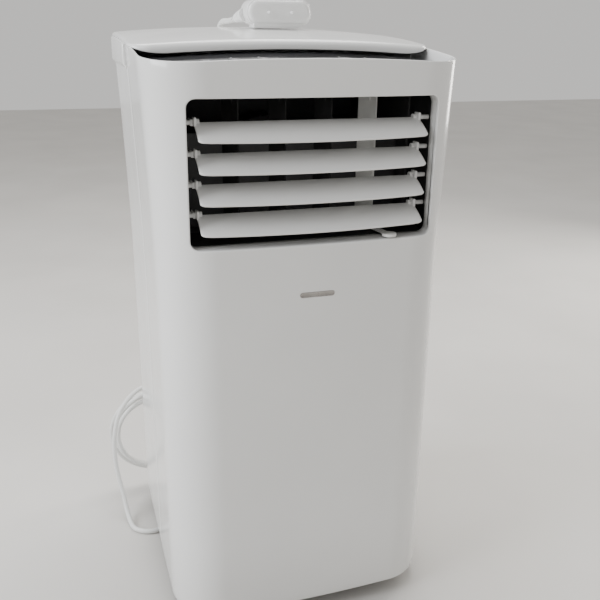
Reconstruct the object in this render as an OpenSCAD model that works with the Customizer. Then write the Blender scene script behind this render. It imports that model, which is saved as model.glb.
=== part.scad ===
// Portable air conditioner: a tall shell on four casters with a louvred outlet in front.
// Origin: on the floor under the middle of the unit, its cord hook included. +Z is up and the outlet faces -Y.

/* [Casing] */
// Width of the casing at its flared top rim
body_w = 348; // [344:2:352]
// Width of the straight lower casing
waist_w = 332; // [326:2:336]
// Depth of the casing, front face to back face
body_d = 334; // [332:2:340]
// Overall height, floor to the crown of the lid
body_h = 704; // [702:1:712]
// Height of the front shell's rim at its centre
rim_z = 677.5; // [676:0.5:680]
// Radius of the two front corners
front_r = 62; // [50:2:68]
// Radius of the two rear corners
rear_r = 26; // [20:2:32]
// Wall thickness of the moulded shells
wall = 2.5; // [2:0.25:3]

/* [Outlet] */
// Half the width of the air outlet
outlet_hw = 135; // [130:1:136]
// Bottom of the air outlet
outlet_z0 = 488; // [486:1:492]
// Top of the air outlet
outlet_z1 = 640; // [638:1:644]
// Downward tilt of the louvers at rest
louver_tilt = 25; // [20:1:30]
// Chord of one louver blade
louver_chord = 40; // [36:1:41]
// Distance from one louver to the next
louver_pitch = 31.8; // [31:0.2:32.4]

/* [Services] */
// Bore radius of the exhaust hose collar
exhaust_r = 70; // [60:1:72]
// Bore radius of the drain outlets
drain_r = 6; // [5:0.5:7]
// Radius of a caster wheel
wheel_r = 16; // [14:1:16]
// Diameter of the power cord
cord_d = 7; // [6:0.5:8]

/* [Hidden] */
$fn = 64;
fit = 0.05;

// Casing levels
half_d = body_d / 2;
skirt_z = 23;
casing_z = 26;
flare_z = 400;
rim_arch = 7.2;
rim_rise = 21;
seam_y = -6;
seam_gap = 0.6;
face_crown = 3;
lid_front_y = -57;
ledge_out = 3.5;
crown_y = 141;

// Half width of the casing at height z: straight below, flaring out towards the rim
function half_w(z) = waist_w / 2
    + (body_w - waist_w) / 2 * pow(max(0, (z - flare_z) / (rim_z - flare_z)), 1.6);

function arc_points(cx, cy, r, a0, a1, n) =
    [for (i = [0:n]) let(a = a0 + (a1 - a0) * i / n) [cx + r * cos(a), cy + r * sin(a)]];

// Plan outline of the casing, t inside its skin, counterclockwise from the left side
function outline(w, t) = concat(
    arc_points(-w + front_r, -half_d + face_crown + front_r, front_r - t, 180, 270, 10),
    [for (s = [-0.66, -0.33, 0, 0.33, 0.66])
        [s * (w - front_r), -half_d + t + face_crown * s * s]],
    arc_points(w - front_r, -half_d + face_crown + front_r, front_r - t, 270, 360, 10),
    arc_points(w - rear_r, half_d - rear_r, rear_r - t, 0, 90, 5),
    arc_points(-w + rear_r, half_d - rear_r, rear_r - t, 90, 180, 5));

function at_height(points, z) = [for (p = points) [p[0], p[1], z]];

// Solid through a list of rings that all have the same number of points
module loft(rings) {
    n = len(rings[0]);
    m = len(rings);
    side = [for (k = [0:m - 2], i = [0:n - 1], f = [0, 1]) let(j = (i + 1) % n)
        f == 0 ? [k * n + i, (k + 1) * n + i, (k + 1) * n + j]
               : [k * n + i, (k + 1) * n + j, k * n + j]];
    polyhedron([for (r = rings) each r],
        concat([[for (i = [0:n - 1]) i]], side, [[for (i = [n - 1:-1:0]) (m - 1) * n + i]]));
}

// Casing volume between two heights, t inside its skin
module casing_body(z0, z1, t) {
    levels = [z0, flare_z, 470, 530, 585, 635, z1];
    loft([for (z = levels) at_height(outline(half_w(z), t), z)]);
}

// Height of the casing's rim: arched across, and rising from the front towards the rear
function rim_at(x, y) = rim_z + rim_rise * (1 - pow((crown_y - y) / (crown_y + half_d), 2))
    - rim_arch * pow(2 * x / body_w, 2);

// Everything below the rim's surface, lowered by drop
module under_rim(drop) {
    reach = body_w / 2 + 16;
    loft([for (y = [-half_d - 9, -140, -105, -70, -35, 0, 40, 80, 120, half_d + 9])
        concat([[-reach, y, 0]], [for (s = [-1:0.125:1]) [s * reach, y, rim_at(s * reach, y) - drop]],
            [[reach, y, 0]])]);
}

// Everything below an arch across the casing with its crown at height z
arch_r = pow(body_w / 2, 2) / (2 * rim_arch);
module under_arch(z) {
    translate([0, 0, z - arch_r])
        rotate([90, 0, 0])
            cylinder(r = arch_r, h = 2 * body_d, center = true, $fn = 720);
}

module box(low, high) {
    translate(low)
        cube([high[0] - low[0], high[1] - low[1], high[2] - low[2]]);
}

// Cylinder along Y from y0 to y1
module y_rod(x, z, r, y0, y1) {
    translate([x, y1, z])
        rotate([90, 0, 0])
            cylinder(r = r, h = y1 - y0);
}

// Cylinder along X from x0 to x1
module x_rod(y, z, r, x0, x1) {
    translate([x0, y, z])
        rotate([0, 90, 0])
            cylinder(r = r, h = x1 - x0);
}

// Rectangle with round corners, centred
module round_rect(w, h, r) {
    square([w - 2 * r, h], center = true);
    square([w, h - 2 * r], center = true);
    for (sx = [-1, 1], sy = [-1, 1])
        translate([sx * (w / 2 - r), sy * (h / 2 - r)])
            circle(r);
}

// Round-cornered bar along Y, its face seen along Y
module y_bar(x, z, w, h, r, y0, y1) {
    translate([x, y1, z])
        rotate([90, 0, 0])
            linear_extrude(y1 - y0)
                round_rect(w, h, r);
}

// Outlet
outlet_r = 9;
outlet_mid = (outlet_z0 + outlet_z1) / 2;
outlet_h = outlet_z1 - outlet_z0;
reveal_d = 26;
frame_y0 = -half_d + reveal_d + 0.5;
frame_y1 = -85;
frame_hw = outlet_hw + 2;

module front_shell() {
    color("white")
        difference() {
            union() {
                intersection() {
                    difference() {
                        casing_body(skirt_z, body_h, 0);
                        casing_body(skirt_z - 1, body_h + 1, wall);
                    }
                    under_rim(0);
                    box([-body_w, -body_d, 0], [body_w, seam_y - seam_gap, body_h]);
                }
                intersection() {
                    y_bar(0, outlet_mid, 2 * outlet_hw + 2 * wall, outlet_h + 2 * wall, outlet_r + wall,
                        -half_d - 1, -half_d + reveal_d);
                    casing_body(outlet_z0 - 20, body_h, 0.5);
                }
            }
            y_bar(0, outlet_mid, 2 * outlet_hw, outlet_h, outlet_r, -half_d - 5, -half_d + reveal_d + 5);
        }
}

// Rear openings
intake_hw = 118;
intake_z0 = 470;
intake_z1 = 640;
grille_hw = 118;
grille_z0 = 62;
grille_z1 = 158;
exhaust_z = 356;
drain_x = 95;
drain_upper_z = 440;
drain_lower_z = 50;
ledge_z0 = 660;
side_z0 = 598;
side_y1 = half_d - rear_r;

module rear_casing() {
    color("white")
        difference() {
            union() {
                intersection() {
                    difference() {
                        casing_body(casing_z, body_h, 0);
                        casing_body(casing_z - 1, body_h + 1, wall);
                    }
                    under_rim(0);
                    box([-body_w, seam_y + seam_gap, 0], [body_w, body_d, body_h]);
                }
                filter_rails();
                y_rod(0, exhaust_z, exhaust_r + 3, half_d - 12, half_d + 6);
                y_rod(drain_x, drain_upper_z, drain_r + 3, half_d - 10, half_d + 3);
                y_rod(drain_x, drain_lower_z, drain_r + 3, half_d - 10, half_d + 3);
            }
            box([-intake_hw, half_d - 10, intake_z0], [intake_hw, half_d + 5, intake_z1]);
            box([-grille_hw, half_d - 10, grille_z0], [grille_hw, half_d + 5, grille_z1]);
            y_rod(0, exhaust_z, exhaust_r, half_d - 20, half_d + 10);
            y_rod(drain_x, drain_upper_z, drain_r, half_d - 20, half_d + 10);
            y_rod(drain_x, drain_lower_z, drain_r, half_d - 20, half_d + 10);
            for (side = [-1, 1])
                mirror([side < 0 ? 1 : 0, 0, 0])
                    box([waist_w / 2 - 20, seam_y - 1, side_z0], [body_w, side_y1, body_h + 1]);
            for (p = screw_places)
                y_rod(p[0], p[1], screw_r + 0.1, half_d - 10, half_d + 5);
        }
}

// Rails above and below the filter, with an end stop
rail_y = half_d + 7;
module filter_rails() {
    for (top = [0, 1])
        translate([0, 0, top == 1 ? intake_z1 : intake_z0])
            mirror([0, 0, top == 1 ? 0 : 1]) {
                box([-122, half_d - 1, 6.3], [120, rail_y, 9.3]);
                box([-122, half_d + 5.3, 3], [120, rail_y, 8]);
            }
    box([-122, half_d - 1, intake_z0 - 8], [-119, rail_y, intake_z1 + 8]);
}

// Upper side wall with a finger ledge along its top, cut under at its lower edge
module handle(side) {
    outer = body_w / 2 + ledge_out;
    color([0.9, 0.9, 0.9])
        mirror([side < 0 ? 1 : 0, 0, 0])
            difference() {
                intersection() {
                    union() {
                        difference() {
                            casing_body(casing_z, body_h, 0);
                            casing_body(casing_z - 1, body_h + 1, wall);
                        }
                        box([half_w(ledge_z0) - 1, seam_y, ledge_z0], [outer, side_y1, body_h]);
                    }
                    under_rim(0);
                    box([waist_w / 2 - 20, seam_y + seam_gap, side_z0], [outer, side_y1, body_h]);
                }
                translate([outer, 0, ledge_z0 - 1])
                    rotate([0, 30, 0])
                        cube([5, body_d, 12], center = true);
            }
}

// Lid: height of its domed top over the plan
function dome(x, y) = body_h - x * x / 3840 - pow(y - crown_y, 2) / 3600;

lid_corner_r = 24;
lid_gap = 0.4;
lid_lip_z = 682.5;
function lid_outline(t) = let(w = body_w / 2 + 1.5) concat(
    arc_points(-w + lid_corner_r, lid_front_y + lid_corner_r, lid_corner_r - t, 180, 270, 5),
    [for (s = [-0.75:0.25:0.75]) [s * (w - lid_corner_r), lid_front_y + t - 3 * (1 - s * s)]],
    arc_points(w - lid_corner_r, lid_front_y + lid_corner_r, lid_corner_r - t, 270, 360, 5),
    [for (y = [0, 50, 100]) [w - t, y]],
    arc_points(w - rear_r, half_d + 0.5 - rear_r, rear_r - t, 0, 90, 6),
    [for (s = [0.75:-0.25:-0.75]) [s * (w - rear_r), half_d + 0.5 - t]],
    arc_points(-w + rear_r, half_d + 0.5 - rear_r, rear_r - t, 90, 180, 6),
    [for (y = [100, 50, 0]) [t - w, y]]);

// Dome over the lid's outline: a flat ring below, then rings drawn in towards the middle
module lid_solid(t, drop) {
    edge = lid_outline(t);
    mid = [0, 60];
    shrink = [1, 0.97, 0.9, 0.75, 0.6, 0.4, 0.2, 0.03];
    fall = [2, 0.8, 0.2, 0, 0, 0, 0, 0];
    loft(concat([at_height(edge, lid_lip_z - 12)],
        [for (k = [0:len(shrink) - 2])
            [for (p = edge) let(q = mid + (p - mid) * shrink[k])
                [q[0], q[1], dome(q[0], q[1]) - fall[k] - drop]]],
        [[for (p = edge) let(q = mid + (p - mid) * 0.02) [q[0], q[1], dome(0, mid[1]) - drop]]]));
}

// The lid rests over the walls' rim; its front lip reaches down between the side walls
module top_lid() {
    color("white")
        difference() {
            lid_solid(0, 0);
            lid_solid(3, 3);
            difference() {
                under_rim(-lid_gap);
                intersection() {
                    casing_body(rim_z - 40, body_h, wall + 0.5);
                    box([-body_w, lid_front_y - 5, 0], [body_w, lid_front_y + lid_corner_r, body_h]);
                }
            }
            under_arch(lid_lip_z);
        }
}

// Control panel: a dark glossy deck that rises from the front rim to the lid
deck_slope = 3.6;
deck_front_z = rim_z - 6;
deck_y1 = lid_front_y + 8;
// Arched solid that rises to the rear, its top at lift over the deck
module deck_arch(lift) {
    translate([0, -half_d, deck_front_z + lift])
        rotate([deck_slope, 0, 0])
            translate([0, -40, -arch_r])
                rotate([-90, 0, 0])
                    cylinder(r = arch_r, h = 2 * body_d, $fn = 720);
}

button_x = [-105, -75, -45, 45, 75, 105];
button_y = -112;
button_r = 7;
function deck_z(y) = deck_front_z + (y + half_d) * tan(deck_slope);

// Puts its children on the deck's surface at (x, y), square to it
module on_deck(x, y) {
    translate([x, y, deck_z(y) - rim_arch * pow(2 * x / body_w, 2)])
        rotate([deck_slope, 0, 0])
            children();
}

module control_panel() {
    color([0.2, 0.2, 0.21])
        difference() {
            intersection() {
                loft([for (z = [rim_z - 30, rim_z + 10])
                    at_height(outline(half_w(rim_z - 12), wall + 0.4), z)]);
                difference() {
                    deck_arch(0);
                    deck_arch(-3);
                }
                box([-body_w, -body_d, 0], [body_w, deck_y1, body_h]);
            }
            for (x = button_x)
                on_deck(x, button_y)
                    cylinder(r = button_r + 0.35, h = 20, center = true);
            on_deck(0, button_y)
                cube([52, 26, 20], center = true);
        }
}

module panel_window() {
    color([0.08, 0.08, 0.09])
        on_deck(0, button_y)
            translate([0, 0, -1.5])
                cube([51.6, 25.6, 2.8], center = true);
}

module button(k) {
    color([0.28, 0.28, 0.3])
        on_deck(button_x[k], button_y) {
            translate([0, 0, -4])
                cylinder(r = button_r, h = 4.9);
            translate([0, 0, -9])
                cylinder(r = 2, h = 6);
        }
}

module control_board() {
    color("darkgreen")
        on_deck(0, button_y)
            translate([0, 0, -14])
                cube([240, 60, 1.6], center = true);
    color("black")
        on_deck(0, button_y)
            for (x = [-100, 90])
                translate([x, 20, -17.8])
                    cube([14, 10, 6.2], center = true);
}

// Louvers
pivot_y = -131;
pivot_r = 2.5;
louver_hw = 124;
crank = 11;
blade_t = 2.6;
blade_arc = 75;
link_x = frame_hw - 4.5;
function pivot_z(k) = outlet_z1 - 25.5 - louver_pitch * k;

module louver_frame() {
    color([0.12, 0.12, 0.12])
        difference() {
            box([-frame_hw - 3, frame_y0, outlet_z0 - 4], [frame_hw + 3, frame_y1, outlet_z1 + 4]);
            box([-frame_hw, frame_y0 - 1, outlet_z0], [frame_hw, frame_y1 + 1, outlet_z1]);
            for (k = [0:3])
                x_rod(pivot_y, pivot_z(k), pivot_r + fit, -frame_hw - 5, frame_hw + 5);
            for (x = vane_x)
                translate([x, vane_y, outlet_z0 - 6])
                    cylinder(r = vane_pin_r + fit, h = outlet_h + 12);
        }
}

// Blade section: a thin arc from the pivot to the front edge, crown upwards
module blade_section() {
    half = asin(louver_chord / 2 / blade_arc);
    translate([-louver_chord / 2, -blade_arc * cos(half)])
        intersection() {
            difference() {
                circle(blade_arc, $fn = 360);
                circle(blade_arc - blade_t, $fn = 360);
            }
            polygon([[0, 0], [-100 * sin(half), 100 * cos(half)], [100 * sin(half), 100 * cos(half)]]);
        }
}

// Plan shape of a blade: its front edge follows the casing's face
module blade_plan() {
    w = half_w(outlet_mid);
    face = [for (p = outline(w, 0.5)) if (p[1] < pivot_y) [p[0], (p[1] - pivot_y) / cos(louver_tilt)]];
    intersection() {
        polygon(concat(face, [[w, 20], [-w, 20]]));
        translate([-louver_hw, -100])
            square([2 * louver_hw, 200]);
    }
}

module louver(k) {
    color("white")
        translate([0, pivot_y, pivot_z(k)]) {
            rotate([louver_tilt, 0, 0])
                intersection() {
                    rotate([90, 0, 90])
                        translate([0, 0, -louver_hw])
                            linear_extrude(2 * louver_hw)
                                blade_section();
                    translate([0, 0, -30])
                        linear_extrude(60)
                            blade_plan();
                }
            for (s = [-1, 1])
                x_rod(0, 0, 3.6, s * (louver_hw - 2.5) - 3.5, s * (louver_hw - 2.5) + 3.5);
            x_rod(0, 0, pivot_r, -frame_hw - 2.8, -louver_hw);
            x_rod(0, 0, pivot_r, louver_hw, frame_hw + 2.8);
            box([-louver_hw - 3.5, -3.2, -3.2], [-louver_hw - 1, crank + 3.2, 3.2]);
            x_rod(crank, 0, 1.8, -link_x - 1.9, -louver_hw - 1.5);
        }
}

module louver_link() {
    color([0.75, 0.74, 0.7])
        difference() {
            box([-link_x - 1.2, pivot_y + crank - 3, pivot_z(3) - 5],
                [-link_x + 1.2, pivot_y + crank + 3, pivot_z(0) + 5]);
            for (k = [0:3])
                x_rod(pivot_y + crank, pivot_z(k), 1.8 + (k == 0 ? fit : 0.3), -link_x - 5, -link_x + 5);
        }
}

// Vertical vanes
vane_x = [-78, -26, 26, 78];
vane_y = -105;
vane_pin_r = 2;
vane_crank = 13;
vane_z0 = outlet_z0 + 9;
vane_z1 = outlet_z1 - 4;
vane_chord = [-10, 16];
vane_rest = 27;
function vane_crank_at(k) = [vane_x[k] - vane_crank * sin(vane_rest), vane_y + vane_crank * cos(vane_rest)];

module vane(k) {
    master = k == 3;
    color(master ? [0.8, 0.8, 0.78] : [0.12, 0.12, 0.12])
        translate([vane_x[k], vane_y, 0]) {
            rotate([0, 0, vane_rest]) {
                difference() {
                    box([-0.9, vane_chord[0], vane_z0], [0.9, vane_chord[1], vane_z1]);
                    box([-2, vane_crank - 3.5, vane_z0 - 1], [2, vane_chord[1] + 1, vane_z0 + 3]);
                }
                translate([0, 0, outlet_z0 - 3.5])
                    cylinder(r = vane_pin_r, h = vane_z0 - outlet_z0 + 9);
                translate([0, 0, vane_z1 - 5])
                    cylinder(r = vane_pin_r, h = 12.5);
                translate([0, vane_crank, outlet_z0 + 3])
                    cylinder(r = 1.6, h = 12);
            }
            if (master)
                vane_lever();
        }
}

// Lever of the leading vane: an arm along the outlet's floor and a thumb pad
lever_z = outlet_z0 + 2;
module vane_lever() {
    pad_x = 7;
    pad_y = -54;
    box([-2.2, vane_chord[0] - 6, lever_z], [2.2, 0, lever_z + 3]);
    rotate([0, 0, vane_rest])
        box([-1.3, vane_chord[0] + 1, lever_z + 1], [1.3, 1, vane_z0 + 4]);
    translate([0, vane_chord[0] - 4, lever_z])
        rotate([0, 0, 10])
            translate([-2.5, pad_y + 16, 0])
                cube([5, -pad_y - 12, 3]);
    translate([pad_x, pad_y, lever_z])
        cylinder(r = 8, h = 3);
}

module vane_link() {
    first = vane_crank_at(0);
    last = vane_crank_at(3);
    color([0.12, 0.12, 0.12])
        difference() {
            box([first[0] - 6, first[1] - 4, outlet_z0 + 5], [last[0] + 6, first[1] + 4, outlet_z0 + 7.4]);
            for (k = [0:3])
                translate([vane_crank_at(k)[0], vane_crank_at(k)[1], outlet_z0])
                    cylinder(r = 1.6 + (k == 3 ? fit : 0.3), h = 20);
        }
}

// Upper air path: filter, evaporator, blower, outlet
blower_z = 532;
module evaporator() {
    color("silver")
        difference() {
            box([-125, 106, 452], [125, 140, 650]);
            for (k = [0:48])
                box([-117, 104, 456 + 4 * k], [117, 142, 457.6 + 4 * k]);
        }
    color([0.72, 0.45, 0.2])
        for (k = [0:5])
            for (s = [-1, 1])
                translate([s * 124.5, 123, 470 + 32 * k])
                    rotate([0, s * 90, 0])
                        rotate([0, 0, 90])
                            rotate_extrude(angle = 180)
                                translate([9, 0])
                                    circle(3.5, $fn = 24);
}

module blower_housing() {
    color([0.2, 0.2, 0.2])
        difference() {
            union() {
                box([-95, 30, 456], [95, 100, 648]);
                box([-138, frame_y1 + 1, 590], [138, 100, 648]);
                box([-138, frame_y1 + 1, 484], [138, -50, 648]);
            }
            box([-92, 33, 459], [92, 97, 645]);
            box([-135, -60, 593], [135, 97, 645]);
            box([-135, frame_y1 - 5, 487], [135, -53, 645]);
            y_rod(0, blower_z, 56, 95, 102);
            y_rod(0, blower_z, 37, 25, 35);
        }
}

// Centrifugal wheel: a back disc with a hub, a front ring, and blades between
module wheel_rotor(z, y0, y1, r, bore) {
    difference() {
        union() {
            y_rod(0, z, r, y0, y0 + 2);
            y_rod(0, z, 12, y0, y0 + 22);
        }
        y_rod(0, z, bore, y0 - 1, y0 + 30);
    }
    difference() {
        y_rod(0, z, r, y1 - 2, y1);
        y_rod(0, z, r - 14, y1 - 5, y1 + 1);
    }
    translate([0, 0, z])
        for (k = [0:31])
            rotate([0, k * 360 / 32, 0])
                translate([r - 8, y0 + 1, -1])
                    rotate([0, 30, 0])
                        cube([11, y1 - y0 - 2, 1.4]);
}

module blower_wheel() {
    color([0.15, 0.15, 0.16])
        wheel_rotor(blower_z, 40, 92, 68, 4);
}

// Motor with a flange against the housing's front wall and a shaft through the wheel's hub
module motor(z) {
    color([0.6, 0.6, 0.6]) {
        y_rod(0, z, 36, -25, 32);
        y_rod(0, z, 44, 26.5, 29.8);
        y_rod(0, z, 10, 31, 37);
        y_rod(0, z, 4 - fit, 36, 64);
    }
}

module blower_motor() {
    motor(blower_z);
}

module drain_tray() {
    color([0.25, 0.25, 0.25])
        difference() {
            union() {
                box([-150, -60, 430], [150, 146, 451]);
                y_rod(drain_x, drain_upper_z, drain_r + 2, 140, half_d - 10.4);
            }
            box([-147, -57, 433], [147, 143, 455]);
            y_rod(drain_x, drain_upper_z, drain_r, 100, half_d);
        }
}

// Lower air path: grille, condenser, fan, exhaust duct
fan_z = 165;
module condenser() {
    color("silver")
        difference() {
            box([-125, 112, 66], [125, 150, 262]);
            for (k = [0:47])
                box([-117, 110, 70 + 4 * k], [117, 152, 71.6 + 4 * k]);
        }
    color([0.72, 0.45, 0.2])
        for (k = [0:5])
            for (s = [-1, 1])
                translate([s * 124.5, 131, 82 + 32 * k])
                    rotate([0, s * 90, 0])
                        rotate([0, 0, 90])
                            rotate_extrude(angle = 180)
                                translate([9, 0])
                                    circle(3.5, $fn = 24);
}

module fan_housing() {
    color([0.22, 0.22, 0.22])
        difference() {
            box([-95, 30, 62], [95, 108, 280]);
            box([-92, 33, 65], [92, 105, 281]);
            y_rod(0, fan_z, 62, 100, 112);
            y_rod(0, fan_z, 37, 25, 35);
        }
}

module fan_wheel() {
    color([0.15, 0.15, 0.16])
        wheel_rotor(fan_z, 42, 98, 76, 4);
}

module fan_motor() {
    motor(fan_z);
}

module exhaust_duct() {
    color([0.22, 0.22, 0.22])
        difference() {
            box([-95, 30, 280.3], [95, half_d - 12.3, 428]);
            box([-92, 33, 270], [92, 105, 425]);
            box([-92, 100, 283.3], [92, half_d - 15.3, 425]);
            y_rod(0, exhaust_z, exhaust_r - 5, 140, half_d);
        }
}

// Refrigerant circuit
comp_x = -85;
comp_y = -65;
comp_r = 58;
comp_z = 72;
module compressor() {
    color([0.1, 0.1, 0.1])
        translate([comp_x, comp_y, comp_z]) {
            translate([0, 0, 12])
                difference() {
                    cylinder(r = comp_r, h = 150);
                    translate([0, 0, 6])
                        cylinder(r = comp_r - 9, h = 138);
                }
            translate([0, 0, 162])
                intersection() {
                    sphere(r = comp_r, $fn = 64);
                    cylinder(r = comp_r + 1, h = 40);
                }
            cylinder(r = comp_r - 9, h = 12);
            for (a = [30, 150, 270])
                rotate([0, 0, a])
                    difference() {
                        translate([0, -14, 6])
                            cube([comp_r + 10, 28, 4]);
                        translate([comp_r + 1, 0, 0])
                            cylinder(r = 5, h = 20);
                    }
        }
}

module compressor_feet() {
    color([0.08, 0.08, 0.08])
        translate([comp_x, comp_y, 0])
            for (a = [30, 150, 270])
                rotate([0, 0, a])
                    translate([comp_r + 1, 0, pan_z + 3])
                        difference() {
                            union() {
                                cylinder(r = 9, h = comp_z + 6 - pan_z - 3);
                                cylinder(r = 4.9, h = comp_z + 8 - pan_z);
                            }
                            translate([0, 0, -1])
                                cylinder(r = 2.5, h = 60);
                        }
}

acc_x = -20;
acc_y = -120;
module accumulator() {
    color([0.1, 0.1, 0.1])
        translate([acc_x, acc_y, 110]) {
            cylinder(r = 20, h = 100);
            sphere(r = 20);
            translate([0, 0, 100])
                sphere(r = 20);
        }
}

// Copper tube through a list of points: straight lengths with brazed ball elbows
module copper_run(points) {
    pipe_r = 3;
    for (i = [0:len(points) - 2]) {
        d = points[i + 1] - points[i];
        l = norm(d);
        translate(points[i])
            rotate([0, acos(d[2] / l), atan2(d[1], d[0])])
                cylinder(r = pipe_r, h = l, $fn = 24);
        translate(points[i + 1])
            sphere(r = pipe_r + 0.5, $fn = 24);
    }
}

module refrigerant_pipes() {
    color([0.72, 0.45, 0.2]) {
        copper_run([[comp_x, comp_y, 272], [comp_x, comp_y, 300], [-145, comp_y, 300], [-145, 131, 300],
            [-145, 131, 258], [-124, 131, 258]]);
        copper_run([[acc_x, acc_y, 228], [acc_x, acc_y, 400], [-156, acc_y, 400], [-156, 123, 400],
            [-156, 123, 486], [-124, 123, 486]]);
        copper_run([[-124, 131, 98], [-153, 131, 98], [-153, 131, 380], [-153, 100, 380],
            [-153, 100, 550], [-153, 123, 550], [-124, 123, 550]]);
        copper_run([[acc_x, acc_y, 92], [acc_x, acc_y, 80], [-41, -102, 90]]);
    }
}

module control_box() {
    color([0.85, 0.85, 0.8])
        difference() {
            box([60, -140, 180], [135, -80, 330]);
            box([62, -138, 182], [133, -78, 328]);
        }
}

// Base and casters
pan_z = 40;
caster_x = 105;
caster_y = 108;
trail = 6;
axle_z = wheel_r;
stem_r = 4;
module base_pan() {
    color([0.3, 0.3, 0.3])
        difference() {
            union() {
                difference() {
                    translate([0, 0, pan_z])
                        linear_extrude(20)
                            polygon(outline(waist_w / 2, wall + 2));
                    translate([0, 0, pan_z + 3])
                        linear_extrude(20)
                            polygon(outline(waist_w / 2, wall + 4.5));
                }
                for (sx = [-1, 1], sy = [-1, 1])
                    translate([sx * caster_x, sy * caster_y, pan_z])
                        cylinder(r = 9, h = 18);
                y_rod(drain_x, drain_lower_z, drain_r + 2, 150, half_d - 10.4);
            }
            y_rod(drain_x, drain_lower_z, drain_r + 3.4, half_d - 10.4, half_d);
            for (sx = [-1, 1], sy = [-1, 1])
                translate([sx * caster_x, sy * caster_y, pan_z - 1])
                    cylinder(r = stem_r + fit, h = 16);
            y_rod(drain_x, drain_lower_z, drain_r, 140, half_d);
        }
}

// Caster hood with a stem above and an axle through it, between two wheels
module caster_fork(sx, sy) {
    color([0.15, 0.15, 0.15])
        translate([sx * caster_x, sy * caster_y, 0]) {
            translate([0, 0, 33])
                cylinder(r = 11, h = pan_z - 33.4);
            translate([0, 0, 34])
                cylinder(r = stem_r, h = pan_z - 20);
            box([-2.5, -8, 20], [2.5, 12 + trail, 34]);
            translate([-2.5, trail, axle_z])
                rotate([0, 90, 0])
                    cylinder(r = 8, h = 5);
            x_rod(trail, axle_z, 2, -11, 11);
            box([-11, -6, 32.8], [11, 6 + trail, 34.5]);
        }
}

module wheels(sx, sy) {
    color([0.2, 0.2, 0.2])
        translate([sx * caster_x, sy * caster_y + trail, axle_z])
            for (s = [-1, 1])
                difference() {
                    x_rod(0, 0, wheel_r, 7 * s - 3.5, 7 * s + 3.5);
                    x_rod(0, 0, 2 + fit, -20, 20);
                }
}

// Slatted panel between y0 and y1, with a rim
module slatted_panel(hw, z0, z1, y0, y1, bars) {
    pitch = (z1 - z0 - 18) / (bars + 1);
    difference() {
        box([-hw, y0, z0], [hw, y1, z1]);
        box([-hw + 9, y0 - 1, z0 + 9], [hw - 9, y1 + 1, z1 - 9]);
    }
    for (k = [1:bars])
        box([-hw + 8, y0 + 0.5, z0 + 9 + k * pitch - 1.5], [hw - 8, y1 - 0.5, z0 + 9 + k * pitch + 1.5]);
    for (x = [-60, 0, 60])
        box([x - 1.5, y0 + 0.2, z0 + 8], [x + 1.5, y0 + 2.2, z1 - 8]);
}

module upper_filter() {
    color([0.93, 0.93, 0.93]) {
        slatted_panel(intake_hw, intake_z0 - 6, intake_z1 + 6, half_d + 0.3, half_d + 5, 20);
        box([intake_hw - 7, half_d + 4, 535], [intake_hw - 3, half_d + 9, 575]);
    }
}

module lower_grille() {
    color([0.93, 0.93, 0.93])
        slatted_panel(grille_hw - 0.5, grille_z0 + 0.5, grille_z1 - 0.5, half_d - 3, half_d + 2, 10);
}

module drain_plug(z) {
    color([0.1, 0.1, 0.1]) {
        y_rod(drain_x, z, drain_r - fit, half_d - 9, half_d + 4);
        y_rod(drain_x, z, drain_r + 3.5, half_d + 3.2, half_d + 6.5);
        box([drain_x - 1.5, half_d + 6, z - 5], [drain_x + 1.5, half_d + 10, z + 5]);
    }
}

screw_r = 2;
screw_places = [[-142, 72], [142, 72], [-142, 300], [142, 300], [-146, 450], [146, 450], [-60, 660], [60, 660]];
module casing_screws() {
    color("dimgrey")
        for (p = screw_places)
            translate([p[0], half_d, p[1]])
                rotate([90, 0, 0])
                    difference() {
                        union() {
                            translate([0, 0, -2])
                                cylinder(r = 4, h = 1.9);
                            translate([0, 0, -1])
                                cylinder(r = screw_r, h = 12);
                        }
                        for (a = [0, 90])
                            rotate([0, 0, a])
                                translate([0, 0, -2])
                                    cube([5, 1, 1.6], center = true);
                    }
}

// Power cord: a gland on the back, a loop on the floor, a hank on a hook, a lead up to the plug
cord_r = cord_d / 2;
coil_x = -147;
coil_z = 98;
coil_r = 62;
coil_y = 184;
coil_half_y = 14;
coil_half_r = 13;
hook_z = coil_z + coil_r - coil_half_r - 0.3;
hook_y = coil_y + coil_half_y + 3;
hook_t = 2.6;
gland_x = -58;
gland_y = 184;
gland_z = 178;
relief_l = 28;

// Points of the loose stretches: gland to hank, then hank to plug
loop_route = [[-86, 184, 178], [-105, 184, 179], [-125, 184, 179], [-147, 184, 178], [-168, 180, 174],
    [-187, 172, 162], [-202, 162, 143], [-210, 152, 118], [-213, 143, 90], [-211, 133, 60],
    [-206, 118, 33], [-203, 101, 13], [-200, 84, 5], [-196, 69, 4], [-185, 58, 4], [-170, 54, 4],
    [-155, 58, 4], [-144, 69, 4], [-140, 84, 4], [-140, 105, 4], [-140, 130, 4], [-140, 155, 4],
    [-136, 177, 4], [-124, 195, 5], [-105, 202, 10], [-89, 202, 25], [-82, 199, 47], [-82, 195, 72],
    [-85, 194, 98]];
lead_route = [[-85, 174, 98], [-85, 173, 130], [-84, 173, 165], [-84, 174, 210], [-84, 175, 260],
    [-85, 176, 310], [-85, 177, 356], [-82, 178, 410], [-72, 179, 470], [-60, 180, 530],
    [-48, 181, 590], [-38, 182, 640], [-34, 182, 666], [-32, 181, 681], [-31, 177, 695],
    [-30, 170, 705], [-29, 159, 710], [-28, 147, 711], [-27, 135, 711], [-25, 124, 712], [-24, 113, 713]];

function unit(v) = v / norm(v);

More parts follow.
